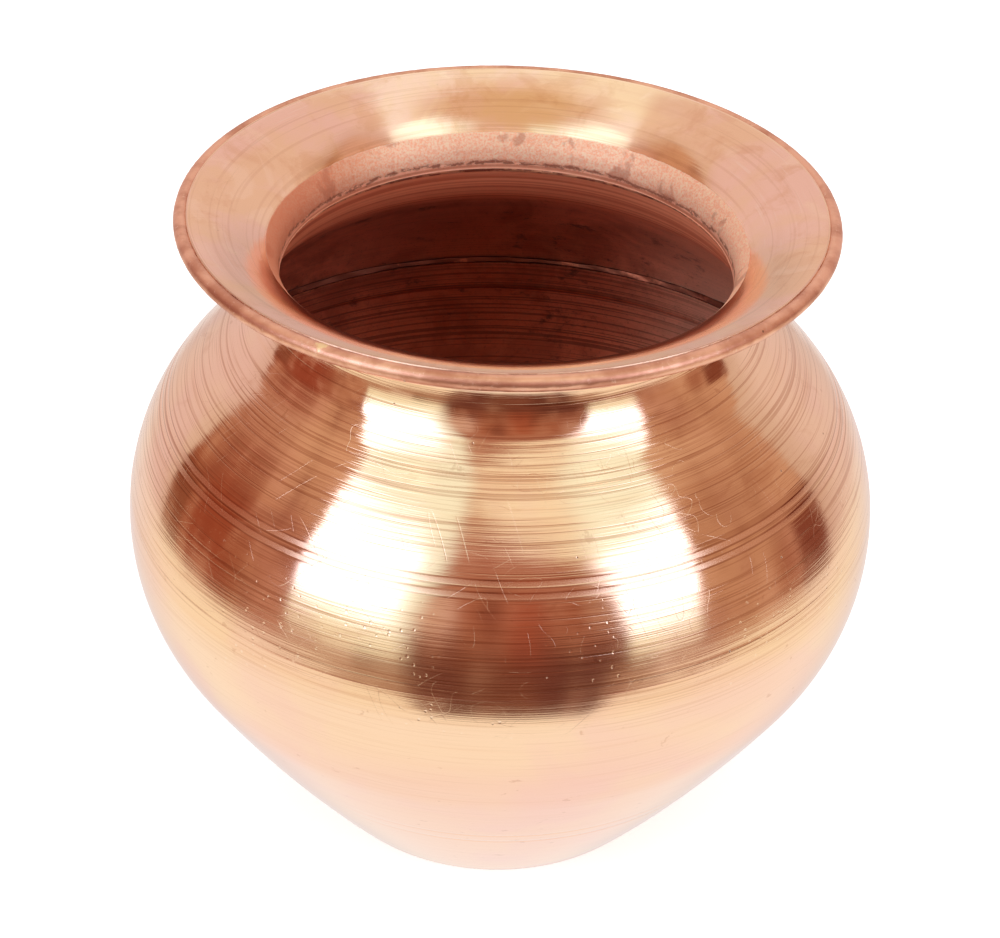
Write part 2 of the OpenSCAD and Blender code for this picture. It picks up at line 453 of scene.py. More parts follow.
class Wire:
    """The output of a shader node. Python's operators on it add Math nodes."""

    def __init__(self, bench, socket):
        self.bench = bench
        self.socket = socket

    def maths(self, operation, first, second):
        return self.bench.node("Math", {"operation": operation}, {0: first, 1: second})

    def __add__(self, other):
        return self.maths("ADD", self, other)

    def __radd__(self, other):
        return self.maths("ADD", other, self)

    def __sub__(self, other):
        return self.maths("SUBTRACT", self, other)

    def __rsub__(self, other):
        return self.maths("SUBTRACT", other, self)

    def __mul__(self, other):
        return self.maths("MULTIPLY", self, other)

    def __rmul__(self, other):
        return self.maths("MULTIPLY", other, self)

    def __truediv__(self, other):
        return self.maths("DIVIDE", self, other)

    def __abs__(self):
        return self.maths("ABSOLUTE", self, 0.0)


class Bench:
    """A node tree that nodes are added to."""

    def __init__(self, tree):
        self.tree = tree
        tree.nodes.clear()

    def node(self, kind, settings=None, inputs=None, output=0):
        """Adds a node: its settings come first, then the values or links of its sockets."""
        made = self.tree.nodes.new("ShaderNode" + kind)
        for name, value in (settings or {}).items():
            if name == "stops":
                self.set_stops(made.color_ramp, value)
            else:
                setattr(made, name, value)
        for name, value in (inputs or {}).items():
            if isinstance(value, Wire):
                self.tree.links.new(value.socket, made.inputs[name])
            else:
                made.inputs[name].default_value = value
        return Wire(self, made.outputs[output]) if len(made.outputs) else None

    @staticmethod
    def set_stops(ramp, stops):
        while len(ramp.elements) < len(stops):
            ramp.elements.new(1.0)
        for element, (place, colour) in zip(ramp.elements, stops):
            element.position = place
            element.color = colour

    def step(self, value, low, high):
        """0 below low, 1 above high and a smooth rise between them."""
        return self.node("MapRange", {"interpolation_type": "SMOOTHSTEP", "clamp": True},
                         {"Value": value, "From Min": low, "From Max": high})

    def window(self, value, low, high, soft):
        """1 between low and high, fading over soft on both sides."""
        return self.step(value, low - soft, low + soft) * (1 - self.step(value, high - soft, high + soft))

    def mix(self, mask, first, second):
        """first where the mask is 0 and second where it is 1, as colours."""
        settings = {"data_type": "RGBA", "clamp_factor": True}
        return self.node("Mix", settings, {0: mask, 6: first, 7: second}, output=2)

    def coated(self, tone, coats):
        """Lays colours over a tone, one after another. Each coat is a mask and a colour."""
        for mask, colour in coats:
            tone = self.mix(mask, tone, colour)
        return tone

    def noise(self, vector, scale, detail=2.0, rough=0.5, distort=0.0):
        inputs = {
            "Vector": vector, "Scale": scale, "Detail": detail, "Roughness": rough, "Distortion": distort}
        return self.node("TexNoise", {"noise_dimensions": "3D"}, inputs)

    def place(self):
        """The point on the piece, in metres."""
        return self.node("TexCoord", output=3)

    def parts(self, vector):
        """A vector's x, y and z."""
        split = self.tree.nodes.new("ShaderNodeSeparateXYZ")
        self.tree.links.new(vector.socket, split.inputs[0])
        return [Wire(self, out) for out in split.outputs]

    def scaled(self, vector, scale, turn=(0, 0, 0)):
        """A vector turned and then stretched."""
        inputs = {"Vector": vector, "Rotation": [math.radians(a) for a in turn]}
        turned_vector = self.node("Mapping", {"vector_type": "POINT"}, inputs)
        return self.node("VectorMath", {"operation": "MULTIPLY"}, {0: turned_vector, 1: scale})


def new_material(name):
    material = bpy.data.materials.new(name)
    material.use_nodes = True
    return material, Bench(material.node_tree)


def surface(bench, **inputs):
    """Ends a material with a metal surface whose sockets are given by name."""
    names = {
        key.replace("_", " ").title().replace("Ior", "IOR"): value for key, value in inputs.items()}
    shader = bench.node("BsdfPrincipled", {}, names)
    bench.node("OutputMaterial", {}, {"Surface": shader})


def rgb(red, green, blue):
    return (red, green, blue, 1.0)


# How much of red, green and blue light clean copper gives back.
COPPER = (0.93, 0.62, 0.44)


# ---------------------------------------------------------------- marks on the metal

def tool_lines(bench, drift, per_metre, detail=2.0):
    """Lines that run round the pot: noise that is slow round the axis and quick along the section."""
    x, y, _ = bench.parts(bench.place())
    travel = bench.node("Attribute", {"attribute_type": "GEOMETRY", "attribute_name": "travel"}, output=2)
    vector = bench.node("CombineXYZ", {}, {0: x * drift, 1: y * drift, 2: travel * per_metre})
    return bench.noise(vector, 1.0, detail, 0.6)


def scratches(bench, turn, across, length, width, cover):
    """Fine scratches, mostly one way: the middle values of a stretched noise, broken into patches."""
    place = bench.place()
    stretched = bench.scaled(place, (1 / length, across, across), turn)
    line = 1 - bench.step(abs(bench.noise(stretched, 1.0, 0.0) - 0.5), width * 0.4, width)
    patches = bench.noise(bench.scaled(place, (1, 1, 1), (turn[1], turn[2], turn[0])), 95.0, 1.0)
    return line * bench.step(patches, cover, cover + 0.06)


def pits(bench, per_metre, size, share):
    """Small round pits: the middles of some cells of a Voronoi pattern."""
    settings = {"voronoi_dimensions": "3D", "feature": "F1"}
    cell = {"Vector": bench.place(), "Scale": per_metre}
    distance = bench.node("TexVoronoi", settings, cell)
    colour = bench.node("TexVoronoi", settings, cell, output=1)
    chance = bench.parts(colour)[0]
    return (1 - bench.step(distance, size * 0.5, size)) * bench.step(chance, 1 - share, 1 - share + 0.02)


def turned_copper():
    """The polished outside: fresh copper with tool lines, two shining grooves with painted shade along their
    rims, scratches, stains and pits.
    """
    material, bench = new_material("turned_copper")
    place = bench.place()
    _, _, z = bench.parts(place)
    fine = tool_lines(bench, 60.0, 5200.0)
    dense = tool_lines(bench, 34.0, 3000.0, 1.0)
    lines = tool_lines(bench, 11.0, 1500.0, 1.0)
    slow = tool_lines(bench, 12.0, 520.0, 3.0)
    clouds = bench.noise(place, 34.0, 3.0, 0.55, 0.4)
    belt = bench.window(z, 71 * MM, 89 * MM, 7 * MM)
    upper = bench.step(z, 64 * MM, 90 * MM)
    grooves = sum(bench.window(z, middle - 0.34 * groove_w, middle + 0.34 * groove_w, 0.06 * MM)
                  for middle in groove_heights)
    ringed = upper * (1 - 0.85 * grooves)

    hairs = (scratches(bench, (20, 35, 10), 290.0, 120 * MM, 0.006, 0.575)
             + scratches(bench, (-50, 15, 70), 260.0, 110 * MM, 0.006, 0.565)
             + scratches(bench, (75, -40, 30), 240.0, 100 * MM, 0.005, 0.575))
    hairs = hairs * bench.window(z, 66 * MM, 114 * MM, 8 * MM)
    specks = pits(bench, 210.0, 0.055, 0.10)
    patch = bench.step(bench.noise(place, 55.0, 3.0), 0.48, 0.58)
    nicks = pits(bench, 900.0, 0.32, 0.26) * patch * bench.window(z, 68 * MM, 90 * MM, 4 * MM)

    cuts = bench.step(lines, 0.58, 0.63)
    # Painted shade: thin dark lines along both rims of each groove, where the cut's edges fall in shade.
    groove_rim_shade = sum(bench.window(z, middle - 0.56 * groove_w, middle + 0.56 * groove_w, 0.05 * MM)
               for middle in groove_heights) - grooves
    stains = bench.step(bench.noise(bench.scaled(place, (1, 1, 2.2)), 75.0, 4.0, 0.6, 0.8), 0.60, 0.72)
    spots = bench.step(bench.noise(bench.scaled(place, (1, 1, 1.3)), 240.0, 3.0, 0.7), 0.66, 0.72)
    fresh = bench.mix(bench.step(clouds, 0.42, 0.66), rgb(0.94, 0.635, 0.435), rgb(0.925, 0.595, 0.45))
    tone = bench.coated(fresh, [
        (bench.step(slow, 0.50, 0.72) * (0.10 + 0.16 * upper), rgb(0.88, 0.50, 0.30)),
        (cuts * 0.50 * ringed, rgb(0.54, 0.25, 0.14)),
        (bench.step(dense, 0.54, 0.66) * (0.08 + 0.26 * ringed + 0.25 * belt), rgb(0.58, 0.28, 0.16)),
        (grooves * 0.8, rgb(0.95, 0.61, 0.44)),
        (groove_rim_shade * 0.55, rgb(0.46, 0.20, 0.12)),
        (stains * 0.38 * upper, rgb(0.68, 0.35, 0.21)),
        (spots * 0.4, rgb(0.62, 0.33, 0.21)),
        (specks * 0.75, rgb(0.24, 0.11, 0.07)),
        (nicks * 0.5, rgb(1.0, 0.78, 0.62))])

    rough = (0.05 + 0.04 * clouds + 0.06 * belt + 0.04 * upper * slow + 0.05 * hairs + 0.3 * specks
             + 0.155 * grooves)
    height = (fine * (0.5 + 1.8 * upper) + dense * (0.5 + 1.6 * ringed + 1.6 * belt)
              + (lines - 0.8 * cuts) * 2.2 * ringed - 0.9 * hairs - 6.0 * specks - 3.5 * nicks)
    relief = bench.node("Bump", {}, {"Strength": 1.0, "Distance": 6e-6, "Height": height})
    surface(bench, base_color=tone, metallic=1.0, roughness=rough, normal=relief,
            anisotropic=0.6, anisotropic_rotation=0.25)
    return material


def dull_inside():
    """The unpolished inside: brown oxide, mottled, with coarse tool lines low down, and cleaner copper at
    the neck that is also painted lighter there.

    It has painted shade to the left of the middle, and painted light on the right, where it is lighter,
    plainer and less metallic.
    """
    material, bench = new_material("oxidised_inside")
    place = bench.place()
    x, _, z = bench.parts(place)
    lines = tool_lines(bench, 9.0, 1900.0, 1.0)
    mottle = bench.noise(place, 48.0, 5.0, 0.62, 0.6)
    grains = bench.noise(place, 1500.0, 3.0, 0.75)
    low = 1 - bench.step(z, 78 * MM, 88 * MM)
    neck = bench.step(z, 107 * MM, 113 * MM)
    # Painted shade: the middle-left of the inside wall is darkened where it lies in shade.
    painted_shade_left = bench.window(x, -40 * MM, 14 * MM, 22 * MM)
    # Painted light: the right of the inside wall is lighter, plainer and less metallic where light falls on
    # it.
    painted_light_right = bench.step(x, 18 * MM, 50 * MM)
    plain = 1 - 0.5 * painted_light_right
    spots = bench.noise(bench.scaled(place, (1, 1, 1.5)), 105.0, 5.0, 0.75)
    black = bench.step(spots, 0.57, 0.66) * bench.step(mottle, 0.42, 0.52)
    # The neck's copper is cleaner, and its colour is also painted lighter for the light it gets from the
    # mouth.
    ridges = tool_lines(bench, 5.0, 820.0, 1.0)
    clean = bench.mix(bench.step(ridges, 0.42, 0.60), rgb(1.0, 0.37, 0.19), rgb(0.72, 0.19, 0.09))
    oxide = bench.mix(bench.step(mottle, 0.38, 0.62), rgb(1.0, 0.37, 0.21), rgb(0.56, 0.18, 0.10))
    tone = bench.coated(oxide, [
        (painted_shade_left * 0.6, rgb(0.34, 0.10, 0.06)),
        (painted_light_right * 0.85, rgb(1.0, 0.55, 0.36)),
        (bench.step(lines, 0.50, 0.60) * (0.12 + 0.50 * low) * plain, rgb(0.17, 0.055, 0.035)),
        (bench.step(grains, 0.55, 0.66) * 0.35 * plain, rgb(0.20, 0.07, 0.05)),
        (black * 0.7 * plain, rgb(0.13, 0.06, 0.045)),
        (neck * 0.9, clean)])
    rough = 0.40 + 0.14 * mottle + 0.06 * grains
    metal = 0.66 - 0.26 * neck - 0.46 * painted_light_right
    height = lines * 4.0 + grains
    relief = bench.node("Bump", {}, {"Strength": 0.9, "Distance": 10e-6, "Height": height})
    surface(bench, base_color=tone, metallic=metal, roughness=rough, normal=relief, specular_ior_level=0.1)
    return material


def underside_copper():
    """The mouth's underside, turned but never polished."""
    material, bench = new_material("underside_copper")
    place = bench.place()
    lines = tool_lines(bench, 14.0, 1500.0, 2.0)
    mottle = bench.noise(place, 60.0, 4.0, 0.6, 0.5)
    tone = bench.mix(bench.step(mottle, 0.38, 0.64), rgb(0.70, 0.36, 0.23), rgb(0.52, 0.24, 0.15))
    tone = bench.mix(bench.step(lines, 0.5, 0.7) * 0.5, tone, rgb(0.80, 0.46, 0.30))
    relief = bench.node("Bump", {}, {"Strength": 1.0, "Distance": 8e-6, "Height": lines * 2.0})
    surface(bench, base_color=tone, metallic=1.0, roughness=0.20 + 0.15 * mottle, normal=relief)
    return material


def mouth_copper():
    """The mouth's upper face: polished down to a ragged line, and frosted and pink below it.

    The frosted throat has painted shade on its left, and ends in a ragged line of painted shadow, where the
    skirt's step lies in shade, above a ridged skirt.
    """
    material, bench = new_material("mouth_copper")
    place = bench.place()
    x, _, z = bench.parts(place)
    fine = tool_lines(bench, 14.0, 3600.0)
    slow = tool_lines(bench, 16.0, 520.0, 3.0)
    lines = tool_lines(bench, 16.0, 1300.0, 1.0)
    clouds = bench.noise(place, 40.0, 4.0, 0.6, 0.5)
    ragged = z + 0.35 * MM * bench.noise(place, 420.0, 3.0, 0.6)
    frost = 1 - bench.step(ragged, frost_top_z, frost_top_z + 0.25 * MM)

    patina = bench.step(bench.noise(place, 88.0, 5.0, 0.68, 0.6), 0.50, 0.66)
    rubbed = bench.noise(bench.scaled(place, (1, 1, 1), (30, 60, 10)), 62.0, 4.0, 0.6, 1.2)
    scuffs = bench.step(tool_lines(bench, 60.0, 2600.0, 2.0), 0.60, 0.68) * bench.step(clouds, 0.50, 0.56)
    fresh = bench.mix(bench.step(clouds, 0.40, 0.60), rgb(0.93, 0.60, 0.385), rgb(0.95, 0.60, 0.47))
    polished = bench.coated(fresh, [
        (patina * 0.50, rgb(0.79, 0.43, 0.25)),
        (bench.step(rubbed, 0.54, 0.64) * 0.45, rgb(1.0, 0.70, 0.50)),
        (bench.step(slow, 0.52, 0.74) * 0.25, rgb(0.82, 0.45, 0.30)),
        (bench.step(lines, 0.56, 0.68) * 0.20, rgb(0.62, 0.32, 0.19)),
        (scuffs * 0.40, rgb(0.98, 0.74, 0.60)),
        (pits(bench, 260.0, 0.06, 0.08) * 0.6, rgb(0.34, 0.16, 0.10))])

    grains = bench.noise(place, 2300.0, 3.0, 0.8)
    clusters = bench.noise(bench.scaled(place, (1, 1, 1.6)), 520.0, 3.0, 0.65)
    blotch = bench.noise(bench.scaled(place, (1, 1, 0.6)), 120.0, 4.0, 0.6, 0.4)
    # Painted shade: the left of the frosted throat is darkened where less light reaches it.
    left = 1 - bench.step(x, -44 * MM, -22 * MM)
    skirt = 1 - bench.step(z, 121 * MM, 123.6 * MM)
    ridge = tool_lines(bench, 8.0, 1100.0, 2.0)
    lower = bench.mix(bench.step(ridge, 0.44, 0.60), rgb(1.0, 0.48, 0.30), rgb(0.66, 0.20, 0.105))
    # Painted shadow: a ragged dark line low on the throat, where the step at the skirt's edge lies in shade.
    wavy = z + 3.2 * MM * bench.noise(bench.scaled(place, (1, 1, 2)), 110.0, 5.0, 0.8)
    painted_step_shadow = bench.window(wavy, 123.4 * MM, 124.1 * MM, 0.25 * MM) * bench.step(clusters, 0.40, 0.52)
    grainy = bench.mix(bench.step(grains, 0.38, 0.60), rgb(1.0, 0.46, 0.28), rgb(1.0, 0.71, 0.50))
    frosted = bench.coated(grainy, [
        (bench.step(clusters, 0.52, 0.64) * 0.30, rgb(0.86, 0.33, 0.20)),
        (bench.step(blotch, 0.58, 0.66) * 0.55, rgb(0.52, 0.19, 0.12)),
        (left * 0.75, rgb(0.66, 0.18, 0.08)),
        (skirt * 0.85, lower),
        (painted_step_shadow * 0.8, rgb(0.30, 0.09, 0.055))])
    tone = bench.mix(frost, polished, frosted)

    rough = 0.06 + 0.06 * clouds + 0.05 * slow + frost * (0.42 - 0.14 * bench.step(blotch, 0.56, 0.68))
    metal = 1 - 0.76 * frost
    height = (1 - frost) * (fine * 1.2 + lines * 2.0) + frost * grains * 6.0
    relief = bench.node("Bump", {}, {"Strength": 1.0, "Distance": 7e-6, "Height": height})
    surface(bench, base_color=tone, metallic=metal, roughness=rough, normal=relief,
            anisotropic=0.5, anisotropic_rotation=0.25, specular_ior_level=0.1)
    return material


def bead_copper():
    """The wire bead: dull rose copper, grainy and knocked about, with a drop of yellow braze on it."""
    material, bench = new_material("bead_copper")
    place = bench.place()
    grains = bench.noise(place, 1100.0, 3.0, 0.65)
    patches = bench.noise(place, 95.0, 4.0, 0.6)
    tone = bench.mix(bench.step(patches, 0.40, 0.66), rgb(0.90, 0.49, 0.33), rgb(0.62, 0.27, 0.17))
    tone = bench.mix(bench.step(grains, 0.58, 0.72) * 0.6, tone, rgb(0.93, 0.62, 0.47))
    tone = bench.mix(pits(bench, 420.0, 0.14, 0.16) * 0.8, tone, rgb(0.20, 0.09, 0.06))
    drop_place = (
        -bead_c[0] * math.sin(drop_turn), -bead_c[0] * math.cos(drop_turn), bead_c[1] + 0.6 * bead_r)
    away = bench.node("VectorMath", {"operation": "DISTANCE"}, {0: place, 1: drop_place}, output=1)
    drop = 1 - bench.step(away + 3.0 * MM * bench.noise(place, 700.0, 3.0, 0.7), 2.4 * MM, 2.9 * MM)
    tone = bench.mix(drop * 0.85, tone, rgb(0.96, 0.70, 0.38))
    rough = 0.27 + 0.18 * patches + 0.10 * grains
    height = grains + 0.5 * patches + 2.0 * drop
    relief = bench.node("Bump", {}, {"Strength": 1.0, "Distance": 14e-6, "Height": height})
    surface(bench, base_color=tone, metallic=1.0, roughness=rough, normal=relief)
    return material


def braze_metal(name, fresh, stained, share, metal=1.0):
    """Braze: grainy filler with stains over a share of it. metal is lower for oxidised braze."""
    material, bench = new_material(name)
    place = bench.place()
    grains = bench.noise(place, 1300.0, 3.0, 0.65)
    patches = bench.noise(place, 210.0, 4.0, 0.65)
    tone = bench.mix(bench.step(patches, 0.72 - share / 2, 0.82 - share / 2), fresh, stained)
    tone = bench.mix(bench.step(grains, 0.60, 0.75) * 0.4, tone, rgb(0.24, 0.11, 0.07))
    rough = 0.30 + 0.25 * patches
    relief = bench.node("Bump", {}, {"Strength": 1.0, "Distance": 18e-6, "Height": grains + patches})
    surface(bench, base_color=tone, metallic=metal, roughness=rough, normal=relief,
            specular_ior_level=0.1)
    return material


# ---------------------------------------------------------------- the pieces

copper = turned_copper()
inside = dull_inside()
under_face = underside_copper()
mouth_face = mouth_copper()
bead_metal = bead_copper()
belly_filler = braze_metal("belly_braze_metal", rgb(0.36, 0.105, 0.055), rgb(0.19, 0.055, 0.03), 0.70, 0.85)
neck_filler = braze_metal("neck_braze_metal", rgb(0.80, 0.38, 0.22), rgb(0.46, 0.17, 0.10), 0.55, 0.7)
lip_filler = braze_metal("lip_braze_metal", rgb(0.88, 0.57, 0.40), rgb(0.70, 0.38, 0.26), 0.40)


def make_bowl():
    """The lower shell: dished floor, round foot, flank, belly, and an edge set in to take the shoulder."""
    floor_out = arc(dish_c, dish_r, 90, dish_edge_a)
    wall_out = (
        arc(base_c, base_round_r, -90, flank_low_a)
        + arc(flank_c, flank_r, flank_low_a, flank_top_a)
        + arc(belly_c, belly_round_r, flank_top_a, joggle_a))
    lap_out = arc(belly_c, belly_round_r - lap_in, seam_a, edge_a)
    lap_back = arc(belly_c, belly_round_r - lap_t, edge_a, seam_a)
    wall_in = (
        arc(belly_c, belly_round_r - sheet_t, joggle_a, flank_top_a)
        + arc(flank_c, flank_r - sheet_t, flank_top_a, flank_low_a)
        + arc(base_c, base_round_r - sheet_t, flank_low_a, -90))
    floor_in = arc(dish_c, dish_r + sheet_t, dish_in_edge_a, 90)
    floor_out[0][0] = floor_in[-1][0] = 0.0
    parts = [
        (floor_out, even(1.1 * MM), None, 0),
        (wall_out, outside_spacing, outside_relief, 0),
        (lap_out, even(1.5 * MM), None, 1),
        (lap_back, even(1 * MM), inside_relief, 1),
        (wall_in, even(1.5 * MM), inside_relief, 1),
        (floor_in, even(1.8 * MM), None, 1)]
    piece = turned("bowl", parts, bowl_segments, [copper, inside], open_ends=True)
    return finished(piece, "turned_copper", "bowl_shell")


def make_shoulder():
    """The upper shell, from the belly seam to the collar under the mouth."""
    wall_out = (
        arc(belly_c, belly_round_r, seam_a, shoulder_low_a)
        + arc(shoulder_c, shoulder_r, shoulder_low_a, shoulder_top_a)
        + arc(neck_c, neck_round_r, 180 + shoulder_top_a, 180)
        + arc(throat_c, throat_round_r - lap_t, 180, collar_a))
    collar_in = (
        arc(throat_c, throat_round_r - lap_in, collar_a, 180)
        + arc(neck_c, neck_round_r + sheet_t, 180, skirt_a))
    wall_in = (
        arc(neck_c, neck_round_r + sheet_t, skirt_fillet_a, 180 + shoulder_top_a)
        + arc(shoulder_c, shoulder_r - sheet_t, shoulder_top_a, shoulder_low_a)
        + arc(belly_c, belly_round_r - sheet_t, shoulder_low_a, belly_fillet_a))
    lap_back = arc(belly_c, belly_round_r - sheet_t, edge_a, seam_a)
    parts = [
        (wall_out, outside_spacing, outside_relief, 0),
        (collar_in, even(1 * MM), None, 1),
        (wall_in, even(0.9 * MM), inside_relief, 1),
        (lap_back, even(1.5 * MM), None, 1)]
    piece = turned("shoulder", parts, shoulder_segments, [copper, inside])
    return finished(piece, "turned_copper", "shoulder_shell")


def make_mouth():
    """The trumpet mouth. Its skirt sits inside the collar, and its edge butts on the bead."""
    lap_face = (
        arc(neck_c, neck_round_r + lap_in, skirt_a, 180)
        + arc(throat_c, throat_round_r - sheet_t, 180, collar_a))
    under = (
        arc(throat_c, throat_round_r - sheet_t, collar_a, flare_low_a)
        + arc(flare_c, flare_r - sheet_t, flare_low_a, lip_fillet_a))
    butt = arc(bead_c, lip_gap_r, lip_low_a, lip_edge_a)
    face = (
        arc(flare_c, flare_r, flare_top_a, flare_low_a)
        + arc(throat_c, throat_round_r, flare_low_a, 180)
        + arc(neck_c, neck_round_r + lap_t, 180, skirt_a))
    parts = [
        (lap_face, even(1 * MM), None, 1),
        (under, even(0.4 * MM), underside_relief, 2),
        (butt, even(0.3 * MM), None, 1),
        (face, even(0.2 * MM), flare_relief, 0)]
    piece = turned("mouth", parts, mouth_segments, [mouth_face, copper, under_face], measure=own_travel)
    return finished(piece, "turned_copper", "mouth_flare")


def make_belly_braze():
    """Braze in the belly lap: dressed flush outside, and left as it ran on the bowl's edge inside."""
    seam = [polar(belly_c, belly_round_r, joggle_a), polar(belly_c, belly_round_r, seam_a)]
    lap_face = arc(belly_c, belly_round_r - sheet_t, seam_a, edge_a)
    fillet_top = polar(belly_c, belly_round_r - sheet_t, belly_fillet_a)
    fillet_low = polar(belly_c, belly_round_r - lap_t, edge_a)
    fillet = [fillet_top + (fillet_low - fillet_top) * part for part in np.linspace(0, 1, 9)]
    lap_back = arc(belly_c, belly_round_r - lap_in, edge_a, seam_a)
    parts = [
        (seam, even(0.3 * MM), flush_relief, 0),
        (lap_face, even(2 * MM), None, 1),
        (fillet, even(0.15 * MM), braze_relief, 1),
        (lap_back, even(2 * MM), None, 1)]
    piece = turned("belly_braze_run", parts, braze_segments, [copper, belly_filler])
    return finished(piece, "braze", "belly_braze")


def make_neck_braze():
    """Braze in the neck lap, with a fillet under the skirt inside and over the collar outside."""
    skirt_top = polar(neck_c, neck_round_r + sheet_t, skirt_fillet_a)
    skirt_low = polar(neck_c, neck_round_r + lap_t, skirt_a)
    skirt_fillet = [skirt_low + (skirt_top - skirt_low) * part for part in np.linspace(0, 1, 7)]
    lap_face = (
        arc(neck_c, neck_round_r + sheet_t, skirt_a, 180)
        + arc(throat_c, throat_round_r - lap_in, 180, collar_a))
    collar_low = polar(throat_c, throat_round_r - lap_t, collar_a)
    collar_top = polar(throat_c, throat_round_r - sheet_t, flare_low_a)
    collar_fillet = [collar_low + (collar_top - collar_low) * part for part in np.linspace(0, 1, 9)]
    lap_back = (
        arc(throat_c, throat_round_r - sheet_t, flare_low_a, 180)
        + arc(neck_c, neck_round_r + lap_in, 180, skirt_a))
    parts = [
        (skirt_fillet, even(0.15 * MM), braze_relief, 0),
        (lap_face, even(1 * MM), None, 0),
        (collar_fillet, even(0.2 * MM), edge_relief, 1),
        (lap_back, even(1 * MM), None, 0)]
    piece = turned("neck_braze_run", parts, braze_segments, [neck_filler, copper])
    return finished(piece, "braze", "neck_braze")


def make_lip_braze():
    """Braze between the mouth's edge and the bead, with a fillet under the edge."""
    low = polar(flare_c, flare_r - sheet_t, lip_fillet_a)
    high = polar(bead_c, bead_r, lip_low_a + lip_fillet_turn)
    fillet = [low + (high - low) * part for part in np.linspace(0, 1, 7)]
    back = arc(bead_c, bead_r, lip_low_a + lip_fillet_turn, lip_edge_a)
    front = arc(bead_c, lip_gap_r, lip_edge_a, lip_low_a)
    parts = [
        (fillet, even(0.15 * MM), edge_relief, 0),
        (back, even(0.4 * MM), None, 0),
        (front, even(0.4 * MM), None, 0)]
    piece = turned("lip_braze_run", parts, braze_segments, [lip_filler], measure=own_travel)
    return finished(piece, "braze", "lip_braze")


def make_bead():
    """The wire bead that stiffens the lip."""
    ring = arc(bead_c, bead_r, 0, 360)[:-1]
    parts = [(ring, even(0.22 * MM), bead_relief, 0)]
    piece = turned("lip_bead", parts, bead_segments, [bead_metal], measure=own_travel)
    return finished(piece, "lip_copper", "lip_ring")


# ---------------------------------------------------------------- the studio

def mirrored(red, green, blue):
    """The light that clean copper gives back as this screen colour, from 0 to 255."""
    seen = [(value / 255) ** 2.2 for value in (red, green, blue)]
    return rgb(*[value / own for value, own in zip(seen, COPPER)])


